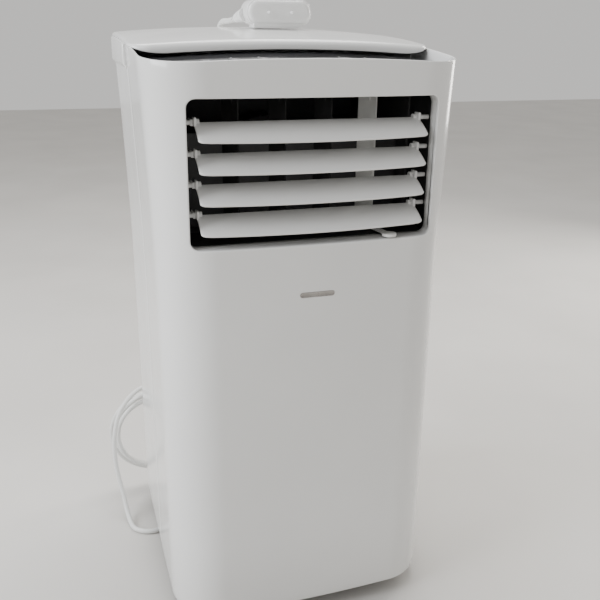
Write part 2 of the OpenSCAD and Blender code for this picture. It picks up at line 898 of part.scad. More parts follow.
// Point at t between p[1] and p[2] on a smooth curve through four points
function smooth(p, t) = 0.5 * (2 * p[1] + (p[2] - p[0]) * t
    + (2 * p[0] - 5 * p[1] + 4 * p[2] - p[3]) * t * t
    + (3 * p[1] - p[0] - 3 * p[2] + p[3]) * t * t * t);
function curve(route, steps) = let(n = len(route),
    ends = concat([2 * route[0] - route[1]], route, [2 * route[n - 1] - route[n - 2]]))
    concat([for (i = [0:n - 2], k = [0:steps - 1])
        smooth([ends[i], ends[i + 1], ends[i + 2], ends[i + 3]], k / steps)], [route[n - 1]]);
function tangent(path, i) = unit(path[min(i + 1, len(path) - 1)] - path[max(i - 1, 0)]);
function square_to(v, t) = unit(v - t * (v * t));

// Round tube of eight sides along a route, its rings turned as little as possible
module cord_tube(route) {
    path = curve(route, 2);
    n = len(path);
    sides = 8;
    start = abs(tangent(path, 0)[2]) < 0.7 ? [0, 0, 1] : [1, 0, 0];
    across = [for (i = 0, u = square_to(start, tangent(path, 0)); i < n;
        i = i + 1, u = square_to(u, tangent(path, min(i, n - 1)))) u];
    loft([for (i = [0:n - 1]) let(t = tangent(path, i), v = cross(t, across[i]))
        [for (a = [0:sides - 1]) path[i] + cord_r * (across[i] * cos(a * 45) + v * sin(a * 45))]]);
}

module cord_gland() {
    color([0.9, 0.9, 0.9]) {
        y_bar(gland_x + 14, gland_z, 28, 28, 4, half_d, gland_y + 9);
        translate([gland_x + 1, gland_y, gland_z])
            rotate([0, -90, 0])
                cylinder(r1 = 6, r2 = cord_r + 0.4, h = relief_l + 1);
        y_bar(coil_x, hook_z - 5, 10, 10, 2, half_d, hook_y);
        y_bar(coil_x, hook_z - 1, 10, 18, 2, hook_y - hook_t, hook_y);
    }
}

module cord_coil() {
    color([0.93, 0.93, 0.93])
        translate([coil_x, coil_y, coil_z])
            rotate([90, 0, 0])
                rotate_extrude($fn = 96)
                    translate([coil_r, 0])
                        square([2 * coil_half_r, 2 * coil_half_y], center = true);
}

module cord_loop() {
    color([0.93, 0.93, 0.93])
        cord_tube(loop_route);
}

module cord_lead() {
    color([0.93, 0.93, 0.93])
        cord_tube(lead_route);
}

plug_x = 22;
plug_y = 78;
plug_z = 721.7;
plug_w = 82;
plug_h = 30;
plug_half_d = 20;
module plug() {
    color([0.95, 0.95, 0.95])
        difference() {
            union() {
                y_bar(plug_x, plug_z, plug_w, plug_h, 14, plug_y - plug_half_d, plug_y + plug_half_d);
                y_bar(plug_x - 2, plug_z - plug_h / 2, 63, 7, 2, plug_y - 18, plug_y + 5);
                translate([-18, 88, 718])
                    rotate([0, 101, 103])
                        cylinder(r1 = 8, r2 = cord_r + 0.6, h = 26);
            }
            for (s = [-1, 1])
                y_rod(plug_x + 14.5 * s, plug_z, 2, plug_y - 25, plug_y - plug_half_d + 4);
        }
}

// Two flat blades and a round earth pin out of the plug's back
module plug_blades() {
    color([0.8, 0.75, 0.55]) {
        for (s = [-1, 1])
            box([plug_x + 6.35 * s - 0.8, plug_y + plug_half_d, plug_z - 3],
                [plug_x + 6.35 * s + 0.8, plug_y + plug_half_d + 18, plug_z + 3.4]);
        y_rod(plug_x, plug_z - 11, 2.4, plug_y + plug_half_d, plug_y + plug_half_d + 21);
    }
}

// Brings the origin under the middle of the whole unit, cord hook included
module in_frame() {
    translate([0, (half_d - hook_y) / 2, 0])
        children();
}

in_frame() front_shell();
in_frame() rear_casing();
in_frame() top_lid();
in_frame() control_panel();
in_frame() panel_window();
in_frame() control_board();
in_frame() button(0);  // button_power
in_frame() button(1);  // button_mode
in_frame() button(2);  // button_fan
in_frame() button(3);  // button_up
in_frame() button(4);  // button_down
in_frame() button(5);  // button_timer
in_frame() louver_frame();
in_frame() louver(0);  // louver_1
in_frame() louver(1);  // louver_2
in_frame() louver(2);  // louver_3
in_frame() louver(3);  // louver_4
in_frame() louver_link();
in_frame() vane(0);  // vane_1
in_frame() vane(1);  // vane_2
in_frame() vane(2);  // vane_3
in_frame() vane(3);  // vane_4
in_frame() vane_link();
in_frame() evaporator();
in_frame() blower_housing();
in_frame() blower_wheel();
in_frame() blower_motor();
in_frame() drain_tray();
in_frame() condenser();
in_frame() fan_housing();
in_frame() fan_wheel();
in_frame() fan_motor();
in_frame() exhaust_duct();
in_frame() compressor();
in_frame() compressor_feet();
in_frame() accumulator();
in_frame() refrigerant_pipes();
in_frame() control_box();
in_frame() base_pan();
in_frame() handle(-1);  // handle_left
in_frame() handle(1);  // handle_right
in_frame() upper_filter();
in_frame() lower_grille();
in_frame() drain_plug(drain_upper_z);  // drain_plug_upper
in_frame() drain_plug(drain_lower_z);  // drain_plug_lower
in_frame() casing_screws();
in_frame() caster_fork(-1, -1);  // caster_fork_front_left
in_frame() caster_fork(1, -1);  // caster_fork_front_right
in_frame() caster_fork(-1, 1);  // caster_fork_rear_left
in_frame() caster_fork(1, 1);  // caster_fork_rear_right
in_frame() wheels(-1, -1);  // wheels_front_left
in_frame() wheels(1, -1);  // wheels_front_right
in_frame() wheels(-1, 1);  // wheels_rear_left
in_frame() wheels(1, 1);  // wheels_rear_right
in_frame() cord_gland();
in_frame() cord_loop();
in_frame() cord_coil();
in_frame() cord_lead();
in_frame() plug();
in_frame() plug_blades();
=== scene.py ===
import math

import bmesh
import bpy
from mathutils import Matrix, Vector


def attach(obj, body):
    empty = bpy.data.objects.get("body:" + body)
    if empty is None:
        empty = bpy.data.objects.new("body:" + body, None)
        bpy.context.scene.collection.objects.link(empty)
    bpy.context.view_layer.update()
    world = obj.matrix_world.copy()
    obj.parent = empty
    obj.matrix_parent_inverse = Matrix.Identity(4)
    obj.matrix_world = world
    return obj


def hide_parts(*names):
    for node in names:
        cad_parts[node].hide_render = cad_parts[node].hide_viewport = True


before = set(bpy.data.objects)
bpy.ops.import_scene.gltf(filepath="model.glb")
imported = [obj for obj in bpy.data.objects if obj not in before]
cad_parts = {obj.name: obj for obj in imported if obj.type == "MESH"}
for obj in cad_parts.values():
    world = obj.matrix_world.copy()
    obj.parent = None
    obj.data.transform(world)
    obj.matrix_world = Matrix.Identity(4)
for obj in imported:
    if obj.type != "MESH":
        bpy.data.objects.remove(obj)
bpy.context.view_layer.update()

# Casing dimensions in millimetres. The casing's middle is SHIFT ahead of the frame's origin.
MM = 0.001
SHIFT = 17.0
HALF_D = 167.0
TOP_W = 348.0
WAIST_W = 332.0
RIM_Z = 677.5
RIM_RISE = 21.0
CROWN_Y = 141.0
CROWN_Z = 704.0
FLARE_Z = 400.0
RIM_ARCH = 7.2
FRONT_R = 62.0
REAR_R = 26.0
FACE_CROWN = 3.0
WALL = 2.5
SEAM_Y = -6.0
SEAM_GAP = 0.6
SKIRT_Z = 23.0
CASING_Z = 26.0
LID_FRONT_Y = -57.0
LID_LIP_Z = 682.5
LEDGE_Z = 660.0
LEDGE_X = 177.5
OUTLET_HW = 135.0
OUTLET_Z0 = 488.0
OUTLET_Z1 = 640.0
OUTLET_R = 9.0
REVEAL_D = 26.0
PIVOT_Y = -131.0
PIVOT_Z = [OUTLET_Z1 - 25.5 - 31.8 * k for k in range(4)]
LOUVER_TILT = math.radians(25)
EXHAUST_Z = 356.0
DRAIN_X = 95.0
CORD_D = 7.0
LOUVER_HW = 124.0
LOUVER_CHORD = 39.5
BLADE_T = 2.9
CRANK_Y = PIVOT_Y + 11
FILTER_BOX = ((-118, 470), (118, 640))
GRILLE_BOX = ((-118, 62), (118, 158))
DRAIN_Z = {"upper": 440, "lower": 50}
BOOT_START = (-18, 88, 718)
DOT_X = 14.5


def place(point):
    """Casing millimetres to frame metres."""
    x, y, z = point
    return Vector((x * MM, (y - SHIFT) * MM, z * MM))


# ---------------------------------------------------------------- camera and cord

CAMERA_SPOT = (-0.2612, -0.9314, 0.7102)
FOCAL_LENGTH = 769.4 / 600


def make_camera():
    """The photograph's camera: focal length in picture widths, angles in radians."""
    yaw, pitch, roll = 0.3122, 0.3459, 0.0133
    forward = Vector((math.sin(yaw) * math.cos(pitch), math.cos(yaw) * math.cos(pitch), -math.sin(pitch)))
    side = forward.cross(Vector((0, 0, 1))).normalized()
    up = side.cross(forward)
    right = math.cos(roll) * side + math.sin(roll) * up
    top = -math.sin(roll) * side + math.cos(roll) * up
    data = bpy.data.cameras.new("photo_camera")
    data.sensor_width = 36
    data.lens = data.sensor_width * FOCAL_LENGTH
    data.clip_start = 0.02
    camera = bpy.data.objects.new("photo_camera", data)
    bpy.context.scene.collection.objects.link(camera)
    turn = Matrix((right, top, -forward)).transposed().to_4x4()
    camera.matrix_world = Matrix.Translation(Vector(CAMERA_SPOT)) @ turn
    bpy.context.scene.camera = camera


LOOP_ROUTE = [(-86, 184, 178), (-105, 184, 179), (-125, 184, 179), (-147, 184, 178), (-168, 180, 174),
              (-187, 172, 162), (-202, 162, 143), (-210, 152, 118), (-213, 143, 90), (-211, 133, 60),
              (-206, 118, 33), (-203, 101, 13), (-200, 84, 5), (-196, 69, 4), (-185, 58, 4), (-170, 54, 4),
              (-155, 58, 4), (-144, 69, 4), (-140, 84, 4), (-140, 105, 4), (-140, 130, 4), (-140, 155, 4),
              (-136, 177, 4), (-124, 195, 5), (-105, 202, 10), (-89, 202, 25), (-82, 199, 47), (-82, 195, 72),
              (-85, 194, 98)]
LEAD_ROUTE = [(-85, 174, 98), (-85, 173, 130), (-84, 173, 165), (-84, 174, 210), (-84, 175, 260),
              (-85, 176, 310), (-85, 177, 356), (-82, 178, 410), (-72, 179, 470), (-60, 180, 530),
              (-48, 181, 590), (-38, 182, 640), (-34, 182, 666), (-32, 181, 681), (-31, 177, 695),
              (-30, 170, 705), (-29, 159, 710), (-28, 147, 711), (-27, 135, 711), (-25, 124, 712),
              (-24, 113, 713)]
PLUG = (22.0, 78.0, 721.7)
COIL_X, COIL_Z, COIL_R = -147.0, 98.0, 62.0
COIL_Y0, COIL_Y1, COIL_TURNS, COIL_STEPS = 194.0, 174.0, 3, 24


def smooth_path(points, steps):
    """Points on one smooth curve through the given ones."""
    ends = [2 * points[0] - points[1], *points, 2 * points[-1] - points[-2]]
    path = []
    for i in range(len(points) - 1):
        a, b, c, d = ends[i:i + 4]
        for k in range(steps):
            t = k / steps
            path.append(0.5 * (2 * b + (c - a) * t + (2 * a - 5 * b + 4 * c - d) * t * t
                               + (3 * b - a - 3 * c + d) * t ** 3))
    return [*path, points[-1]]


def cord_path():
    coil = []
    for k in range(1, COIL_TURNS * COIL_STEPS):
        share = k / (COIL_TURNS * COIL_STEPS)
        angle = 2 * math.pi * share * COIL_TURNS
        radius = COIL_R + 5 * math.sin(math.pi * share * 2) - 1.5 * math.sin(5 * math.pi * share)
        coil.append(Vector((COIL_X + radius * math.cos(angle), COIL_Y0 + (COIL_Y1 - COIL_Y0) * share,
                            COIL_Z + radius * math.sin(angle))))
    route = [Vector(p) for p in LOOP_ROUTE] + coil + [Vector(p) for p in LEAD_ROUTE]
    return [place(p) for p in smooth_path(route, 5)]


make_camera()


# ---------------------------------------------------------------- materials

def new_material(name, colour, rough, metal=0.0, coat=0.0, coat_rough=0.05, specular=0.5):
    """A Principled material; its sockets that are the same all over are set here."""
    mat = bpy.data.materials.new(name)
    mat.use_nodes = True
    shader = mat.node_tree.nodes["Principled BSDF"]
    shader.inputs["Base Color"].default_value = (*colour, 1)
    shader.inputs["Roughness"].default_value = rough
    shader.inputs["Metallic"].default_value = metal
    shader.inputs["Coat Weight"].default_value = coat
    shader.inputs["Coat Roughness"].default_value = coat_rough
    shader.inputs["Specular IOR Level"].default_value = specular
    return mat


def node(mat, kind, **settings):
    made = mat.node_tree.nodes.new(kind)
    for key, value in settings.items():
        if hasattr(made, key):
            setattr(made, key, value)
        else:
            made.inputs[key].default_value = value
    return made


def link(mat, source, output, target, socket):
    mat.node_tree.links.new(source.outputs[output], target.inputs[socket])


def noise(mat, scale, detail, stretch):
    """Noise over the object's own coordinates, at scale cells a metre."""
    coords = node(mat, "ShaderNodeTexCoord")
    mapping = node(mat, "ShaderNodeMapping", Scale=stretch)
    texture = node(mat, "ShaderNodeTexNoise", Scale=scale, Detail=detail)
    link(mat, coords, "Object", mapping, "Vector")
    link(mat, mapping, "Vector", texture, "Vector")
    return texture


def vary_colour(mat, a, b, scale, stretch=(1, 1, 1)):
    """Drifts the base colour between a and b."""
    texture = noise(mat, scale, 4.0, stretch)
    ramp = node(mat, "ShaderNodeValToRGB")
    ramp.color_ramp.elements[0].position = 0.35
    ramp.color_ramp.elements[0].color = (*a, 1)
    ramp.color_ramp.elements[1].position = 0.65
    ramp.color_ramp.elements[1].color = (*b, 1)
    link(mat, texture, "Fac", ramp, "Fac")
    link(mat, ramp, "Color", mat.node_tree.nodes["Principled BSDF"], "Base Color")


def vary_rough(mat, low, high, scale, stretch=(1, 1, 1)):
    texture = noise(mat, scale, 4.0, stretch)
    span = node(mat, "ShaderNodeMapRange")
    span.inputs["From Min"].default_value = 0.3
    span.inputs["From Max"].default_value = 0.7
    span.inputs["To Min"].default_value = low
    span.inputs["To Max"].default_value = high
    link(mat, texture, "Fac", span, "Value")
    link(mat, span, "Result", mat.node_tree.nodes["Principled BSDF"], "Roughness")


def grain(mat, scale, height, stretch=(1, 1, 1)):
    """A fine relief, height metres deep, such as the texture of moulded plastic."""
    texture = noise(mat, scale, 2.0, stretch)
    bump = node(mat, "ShaderNodeBump", Strength=1.0, Distance=height)
    link(mat, texture, "Fac", bump, "Height")
    link(mat, bump, "Normal", mat.node_tree.nodes["Principled BSDF"], "Normal")


def darken_low(mat, low_tint, top, share):
    """Mixes a little of a darker tint into the colour below the height top, more of it towards the bottom."""
    shader = mat.node_tree.nodes["Principled BSDF"]
    source = shader.inputs["Base Color"].links[0].from_socket
    coords = node(mat, "ShaderNodeTexCoord")
    parts = node(mat, "ShaderNodeSeparateXYZ")
    span = node(mat, "ShaderNodeMapRange")
    span.inputs["From Min"].default_value = 0.02
    span.inputs["From Max"].default_value = top
    span.inputs["To Min"].default_value = share
    span.inputs["To Max"].default_value = 0.0
    mix = node(mat, "ShaderNodeMix", data_type="RGBA")
    mix.inputs[7].default_value = (*low_tint, 1)
    link(mat, coords, "Object", parts, "Vector")
    link(mat, parts, "Z", span, "Value")
    link(mat, span, "Result", mix, 0)
    mat.node_tree.links.new(source, mix.inputs[6])
    mat.node_tree.links.new(mix.outputs[2], shader.inputs["Base Color"])


def gloss_white():
    mat = new_material("gloss_white", (0.80, 0.80, 0.79), 0.16, coat=0.35, coat_rough=0.05)
    vary_colour(mat, (0.79, 0.79, 0.78), (0.82, 0.82, 0.81), 5)
    vary_rough(mat, 0.13, 0.20, 14)
    grain(mat, 160, 0.00002)
    # the shell's lowest 12 cm grows darker towards the floor, a quarter of the way to warm grey at the bottom
    darken_low(mat, (0.55, 0.53, 0.49), 0.12, 0.25)
    return mat


def satin_white(name, colour):
    mat = new_material(name, colour, 0.4)
    darker = tuple(0.95 * c for c in colour)
    vary_colour(mat, darker, colour, 12)
    vary_rough(mat, 0.36, 0.48, 40)
    grain(mat, 2200, 0.00003)
    return mat


def smoked_deck():
    mat = new_material("smoked_deck", (0.075, 0.075, 0.08), 0.1, coat=0.6, coat_rough=0.04)
    vary_colour(mat, (0.07, 0.07, 0.075), (0.085, 0.085, 0.09), 20)
    vary_rough(mat, 0.08, 0.14, 30)
    grain(mat, 300, 0.00001)
    return mat


def moulded(name, colour, rough=0.5, scale=1800, height=0.00005):
    mat = new_material(name, colour, rough)
    lighter = tuple(min(1, 1.25 * c + 0.004) for c in colour)
    vary_colour(mat, colour, lighter, 30)
    vary_rough(mat, rough - 0.06, rough + 0.08, 60)
    grain(mat, scale, height)
    return mat


def metal(name, colour, rough, stretch=(1, 1, 1), scale=300):
    mat = new_material(name, colour, rough, metal=1.0)
    darker = tuple(0.8 * c for c in colour)
    vary_colour(mat, darker, colour, scale / 6, stretch)
    vary_rough(mat, rough - 0.08, rough + 0.1, scale, stretch)
    grain(mat, scale * 4, 0.00002, stretch)
    return mat


def filter_weave():
    """Fine woven mesh: two crossed sets of threads with dark holes between."""
    mat = new_material("filter_weave", (0.5, 0.5, 0.5), 0.7)
    coords = node(mat, "ShaderNodeTexCoord")
    waves = []
    for direction in ("X", "Z"):
        wave = node(mat, "ShaderNodeTexWave", Scale=130.0, wave_type="BANDS", bands_direction=direction)
        link(mat, coords, "Object", wave, "Vector")
        waves.append(wave)
    both = node(mat, "ShaderNodeMath", operation="MAXIMUM")
    link(mat, waves[0], "Fac", both, 0)
    link(mat, waves[1], "Fac", both, 1)
    ramp = node(mat, "ShaderNodeValToRGB")
    ramp.color_ramp.elements[0].position = 0.45
    ramp.color_ramp.elements[0].color = (0.015, 0.015, 0.017, 1)
    ramp.color_ramp.elements[1].position = 0.8
    ramp.color_ramp.elements[1].color = (0.16, 0.16, 0.165, 1)
    link(mat, both, "Value", ramp, "Fac")
    link(mat, ramp, "Color", mat.node_tree.nodes["Principled BSDF"], "Base Color")
    bump = node(mat, "ShaderNodeBump", Strength=0.8, Distance=0.0002)
    link(mat, both, "Value", bump, "Height")
    link(mat, bump, "Normal", mat.node_tree.nodes["Principled BSDF"], "Normal")
    return mat


MATERIALS = {
    "shell": gloss_white(),
    "louver": gloss_white(),
    "deck": smoked_deck(),
    "window": moulded("window_black", (0.008, 0.008, 0.01), 0.1, 200, 0.00001),
    "button": moulded("button_rubber", (0.10, 0.10, 0.105), 0.42),
    "mark": moulded("printed_mark", (0.55, 0.55, 0.56), 0.4),
    "badge": metal("badge_metal", (0.42, 0.40, 0.38), 0.3),
    "board": moulded("board_mask", (0.02, 0.13, 0.05), 0.35),
    "duct": moulded("duct_black", (0.006, 0.006, 0.0065), 0.7),
    "link": moulded("link_cream", (0.42, 0.37, 0.30), 0.4),
    "vane": moulded("vane_grey", (0.62, 0.62, 0.60), 0.4),
    "fins": metal("fin_aluminium", (0.75, 0.76, 0.77), 0.35, (0.05, 1, 1)),
    "housing": moulded("housing_grey", (0.05, 0.05, 0.052), 0.55),
    "impeller": moulded("impeller_black", (0.02, 0.02, 0.022), 0.45),
    "motor": metal("motor_zinc", (0.55, 0.55, 0.56), 0.35),
    "enamel": moulded("compressor_enamel", (0.012, 0.012, 0.012), 0.25, 90, 0.0001),
    "rubber": moulded("black_rubber", (0.018, 0.018, 0.018), 0.7),
    "copper": metal("drawn_copper", (0.75, 0.38, 0.22), 0.28),
    "box": satin_white("box_cream", (0.62, 0.60, 0.52)),
    "pan": metal("galvanised_pan", (0.5, 0.51, 0.52), 0.45, scale=60),
    "cup": satin_white("cup_white", (0.70, 0.70, 0.69)),
    "filter": satin_white("filter_white", (0.74, 0.74, 0.73)),
    "weave": filter_weave(),
    "screw": metal("screw_zinc", (0.5, 0.5, 0.5), 0.3),
    "caster": moulded("caster_black", (0.02, 0.02, 0.021), 0.45),
    "wheel": moulded("wheel_grey", (0.05, 0.05, 0.052), 0.55),
    "cord": satin_white("cord_sheath", (0.74, 0.74, 0.72)),
    "plug": gloss_white(),
    "brass": metal("plated_brass", (0.80, 0.66, 0.36), 0.25),
}
NODE_MATERIALS = {
    "control_panel": "deck", "panel_window": "window", "control_board": "board", "louver_frame": "duct",
    "louver_link": "link", "vane_link": "duct", "vane_1": "duct", "vane_2": "duct", "vane_3": "duct",
    "vane_4": "vane", "evaporator": "fins", "blower_housing": "housing", "blower_wheel": "impeller",
    "blower_motor": "motor", "drain_tray": "housing", "condenser": "fins", "fan_housing": "housing",
    "fan_wheel": "impeller", "fan_motor": "motor", "exhaust_duct": "housing", "compressor": "enamel",
    "compressor_feet": "rubber", "accumulator": "enamel", "refrigerant_pipes": "copper",
    "control_box": "box", "base_pan": "pan", "handle_left": "cup", "handle_right": "cup",
    "upper_filter": "filter", "lower_grille": "filter", "drain_plug_upper": "rubber",
    "drain_plug_lower": "rubber", "casing_screws": "screw", "cord_gland": "cup", "plug_blades": "brass",
}
for corner in ("front_left", "front_right", "rear_left", "rear_right"):
    NODE_MATERIALS["caster_fork_" + corner] = "caster"
    NODE_MATERIALS["wheels_" + corner] = "wheel"
BUTTONS = ["power", "mode", "fan", "up", "down", "timer"]
for name in BUTTONS:
    NODE_MATERIALS["button_" + name] = "button"
for name, key in NODE_MATERIALS.items():
    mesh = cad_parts[name].data
    mesh.materials.clear()
    mesh.materials.append(MATERIALS[key])


# ---------------------------------------------------------------- mesh helpers

def add_piece(name, verts, faces, key, body="root", slot=None, sharp=35.0):
    """A piece from points in casing millimetres, smooth except along edges over sharp degrees."""
    mesh = bpy.data.meshes.new(name)
    mesh.from_pydata([place(v) for v in verts], [], faces)
    work = bmesh.new()
    work.from_mesh(mesh)
    bmesh.ops.remove_doubles(work, verts=work.verts, dist=0.000001)
    bmesh.ops.recalc_face_normals(work, faces=work.faces)
    work.to_mesh(mesh)
    work.free()
    obj = bpy.data.objects.new(name, mesh)
    bpy.context.scene.collection.objects.link(obj)
    mesh.materials.append(MATERIALS[key])
    shade(obj, sharp)
    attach(obj, body)
    return obj


def shade(obj, sharp):
    obj.data.polygons.foreach_set("use_smooth", [True] * len(obj.data.polygons))
    obj.data.set_sharp_from_angle(angle=math.radians(sharp))


def apply_modifiers(obj):
    graph = bpy.context.evaluated_depsgraph_get()
    mesh = bpy.data.meshes.new_from_object(obj.evaluated_get(graph))
    obj.modifiers.clear()
    obj.data = mesh


def cut(obj, cutters):
    """Takes closed solids, given as (points, faces) in casing millimetres, out of obj."""
    for verts, faces in cutters:
        mesh = bpy.data.meshes.new("cutter")
        mesh.from_pydata([place(v) for v in verts], [], faces)
        work = bmesh.new()
        work.from_mesh(mesh)
        bmesh.ops.recalc_face_normals(work, faces=work.faces)
        work.to_mesh(mesh)
        work.free()
        tool = bpy.data.objects.new("cutter", mesh)
        bpy.context.scene.collection.objects.link(tool)
        modifier = obj.modifiers.new("cut", "BOOLEAN")
        modifier.operation = "DIFFERENCE"
        modifier.solver = "EXACT"
        modifier.object = tool
        apply_modifiers(obj)
        bpy.data.objects.remove(tool)


def loft(rings, close_ends=True, closed=True):
    """Points and faces through rings of equal length."""
    count = len(rings[0])
    verts = [v for ring in rings for v in ring]
    faces = []
    for j in range(len(rings) - 1):
        for i in range(count if closed else count - 1):
            k = (i + 1) % count
            faces.append((j * count + i, j * count + k, (j + 1) * count + k, (j + 1) * count + i))
    if close_ends:
        faces.append(tuple(range(count)))
        faces.append(tuple(range((len(rings) - 1) * count, len(rings) * count)))
    return verts, faces


def block(low, high):
    (a, b, c), (d, e, f) = low, high
    return loft([[(a, b, z), (d, b, z), (d, e, z), (a, e, z)] for z in (c, f)])


def rod(axis, centre, radius, start, end, steps=64):
    """Closed cylinder along X, Y or Z; centre holds the other two coordinates in order."""
    rings = []
    for s in (start, end):
        ring = []
        for k in range(steps):
            a = 2 * math.pi * k / steps
            u, v = centre[0] + radius * math.cos(a), centre[1] + radius * math.sin(a)
            ring.append({"x": (s, u, v), "y": (u, s, v), "z": (u, v, s)}[axis])
        rings.append(ring)
    return loft(rings)


def merge(*solids):
    verts, faces = [], []
    for v, f in solids:
        faces += [tuple(i + len(verts) for i in face) for face in f]
        verts += list(v)
    return verts, faces


def turned(profile, centre, steps=96):
    """Solid of revolution about a line along Y: profile lists (distance, place along the line)."""
    rings = []
    for k in range(steps):
        a = 2 * math.pi * k / steps
        ring = []
        for r, s in profile:
            u, v = centre[0] + r * math.cos(a), centre[1] + r * math.sin(a)
            ring.append((u, s, v))
        rings.append(ring)
    verts = [v for ring in rings for v in ring]
    count, faces = len(profile), []
    for k in range(steps):
        n = (k + 1) % steps
        for i in range(count):
            j = (i + 1) % count
            faces.append((k * count + i, k * count + j, n * count + j, n * count + i))
    return verts, faces


def round_box(low, high, radius, steps=4):
    """Box with all its edges rounded."""
    centre = [(a + b) / 2 for a, b in zip(low, high)]
    half = [(b - a) / 2 - radius for a, b in zip(low, high)]
    rings = []
    for j in range(-steps, steps + 1):
        lat = math.pi / 2 * j / steps
        level = centre[2] + (half[2] if j >= 0 else -half[2]) + radius * math.sin(lat)
        levels = [level] if j else [centre[2] - half[2], centre[2] + half[2]]
        for z in levels:
            ring = []
            for corner in range(4):
                sx, sy = ((1, 1), (-1, 1), (-1, -1), (1, -1))[corner]
                for k in range(steps + 1):
                    a = math.pi / 2 * (corner + k / steps)
                    ring.append((centre[0] + sx * half[0] + radius * math.cos(lat) * math.cos(a),
                                 centre[1] + sy * half[1] + radius * math.cos(lat) * math.sin(a), z))
            rings.append(ring)
    return loft(rings)


def arc(cx, cy, r, a0, a1, n):
    steps = [math.radians(a0 + (a1 - a0) * k / n) for k in range(n + 1)]
    return [(cx + r * math.cos(a), cy + r * math.sin(a)) for a in steps]


# ---------------------------------------------------------------- casing shells

def half_w(z):
    """Half the casing's width: straight sides that flare towards the rim."""
    flare = max(0.0, (z - FLARE_Z) / (RIM_Z - FLARE_Z)) ** 1.6
    return WAIST_W / 2 + (TOP_W - WAIST_W) / 2 * flare


def rim_at(x, y):
    """Height of the casing's rim: arched across, and rising towards the rear."""
    rise = RIM_RISE * (1 - ((CROWN_Y - y) / (CROWN_Y + HALF_D)) ** 2)
    return RIM_Z + rise - RIM_ARCH * (2 * x / TOP_W) ** 2


def front_plan(w, inset):
    """Front half of the casing's outline, from the left seam to the right one."""
    r = FRONT_R - inset
    y = -HALF_D + FACE_CROWN + FRONT_R
    side = [SEAM_Y - SEAM_GAP + (y - SEAM_Y + SEAM_GAP) * k / 10 for k in range(10)]
    left = [(-w + inset, s) for s in side]
    face = [(s / 24 * (w - FRONT_R), -HALF_D + inset + FACE_CROWN * (s / 24) ** 2) for s in range(-23, 24)]
    corner_l = arc(-w + FRONT_R, y, r, 180, 270, 20)
    corner_r = arc(w - FRONT_R, y, r, 270, 360, 20)
    return left + corner_l + face + corner_r + [(-x, s) for x, s in reversed(left)]


def rear_plan(w, inset):
    """Rear half of the casing's outline, from the right seam to the left one."""
    r = REAR_R - inset
    y = HALF_D - REAR_R
    side = [SEAM_Y + SEAM_GAP + (y - SEAM_Y - SEAM_GAP) * k / 12 for k in range(12)]
    right = [(w - inset, s) for s in side]
    back = [(s / 10 * (w - REAR_R), HALF_D - inset) for s in range(9, -10, -1)]
    return (right + arc(w - REAR_R, y, r, 0, 90, 10) + back + arc(-w + REAR_R, y, r, 90, 180, 10)
            + [(-x, s) for x, s in reversed(right)])


def shell_skin(plan, z0, inset):
    tops = plan(half_w(RIM_Z), inset)
    rows = 64
    rings = []
    for j in range(rows + 1):
        ring = []
        for i, top in enumerate(tops):
            z = z0 + (rim_at(*top) - z0) * j / rows
            x, y = plan(half_w(z), inset)[i]
            ring.append((x, y, z))
        rings.append(ring)
    return rings


def shell_solid(plan, z0):
    """Outer and inner skin of a moulded shell, joined along their edges."""
    outer, inner = shell_skin(plan, z0, 0), shell_skin(plan, z0, WALL)
    count, rows = len(outer[0]), len(outer)
    verts, faces = loft(outer, False, False)
    more, others = loft(inner, False, False)
    base = len(verts)
    verts += more
    faces += [tuple(base + i for i in face) for face in others]
    for i in range(count - 1):
        for j in (0, rows - 1):
            a = j * count + i
            faces.append((a, a + 1, base + a + 1, base + a))
    for j in range(rows - 1):
        for i in (0, count - 1):
            a = j * count + i
            faces.append((a, a + count, base + a + count, base + a))
    return verts, faces


def soften(obj, width, angle=50.0):
    """Rounds the piece's sharp edges, width in millimetres."""
    modifier = obj.modifiers.new("edge", "BEVEL")
    modifier.width = width * MM
    modifier.segments = 3
    modifier.limit_method = "ANGLE"
    modifier.angle_limit = math.radians(angle)
    apply_modifiers(obj)


def outlet_path(grow):
    """Rounded rectangle of the air outlet, grown outwards, as (x, z)."""
    r = OUTLET_R + grow
    hw, z0, z1 = OUTLET_HW - OUTLET_R, OUTLET_Z0 + OUTLET_R, OUTLET_Z1 - OUTLET_R
    top = [(hw - hw * 2 * k / 32, z1 + r) for k in range(1, 32)]
    low = [(-hw + hw * 2 * k / 32, z0 - r) for k in range(1, 32)]
    return (arc(hw, z1, r, 0, 90, 8) + top + arc(-hw, z1, r, 90, 180, 8)
            + arc(-hw, z0, r, 180, 270, 8) + low + arc(hw, z0, r, 270, 360, 8))


def face_y(x, z):
    """Depth of the casing's front skin."""
    w = half_w(z)
    flat = w - FRONT_R
    crown = FACE_CROWN * min(1.0, abs(x) / flat) ** 2
    over = min(FRONT_R, max(0.0, abs(x) - flat))
    return -HALF_D + crown + FRONT_R - math.sqrt(FRONT_R ** 2 - over ** 2)


def front_shell():
    obj = add_piece("front_shell_skin", *shell_solid(front_plan, SKIRT_Z), "shell", slot="shell_white")
    soften(obj, 0.8)
    lip = 1.6
    tool = loft([[(x, y, z) for x, z in outlet_path(lip)] for y in (-HALF_D - 9, -HALF_D + 22)])
    cut(obj, [tool])
    shade(obj, 30)
    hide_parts("front_shell")
    profile = [(1.6, 0.0), (1.15, 0.06), (0.75, 0.22), (0.4, 0.5), (0.15, 0.95), (0.02, 1.5),
               (0.0, 6.0), (0.0, 14.0), (0.0, 20.0), (0.0, REVEAL_D - 0.3), (0.3, REVEAL_D),
               (WALL, REVEAL_D), (WALL, WALL + 1)]
    rings = []
    for grow, depth in profile:
        ring = []
        for x, z in outlet_path(grow):
            y = face_y(x, z) + depth if depth < 7 else -HALF_D + depth
            ring.append((x, y, z))
        rings.append(ring)
    add_piece("outlet_reveal", *loft(rings, False), "shell", slot="shell_white", sharp=50)


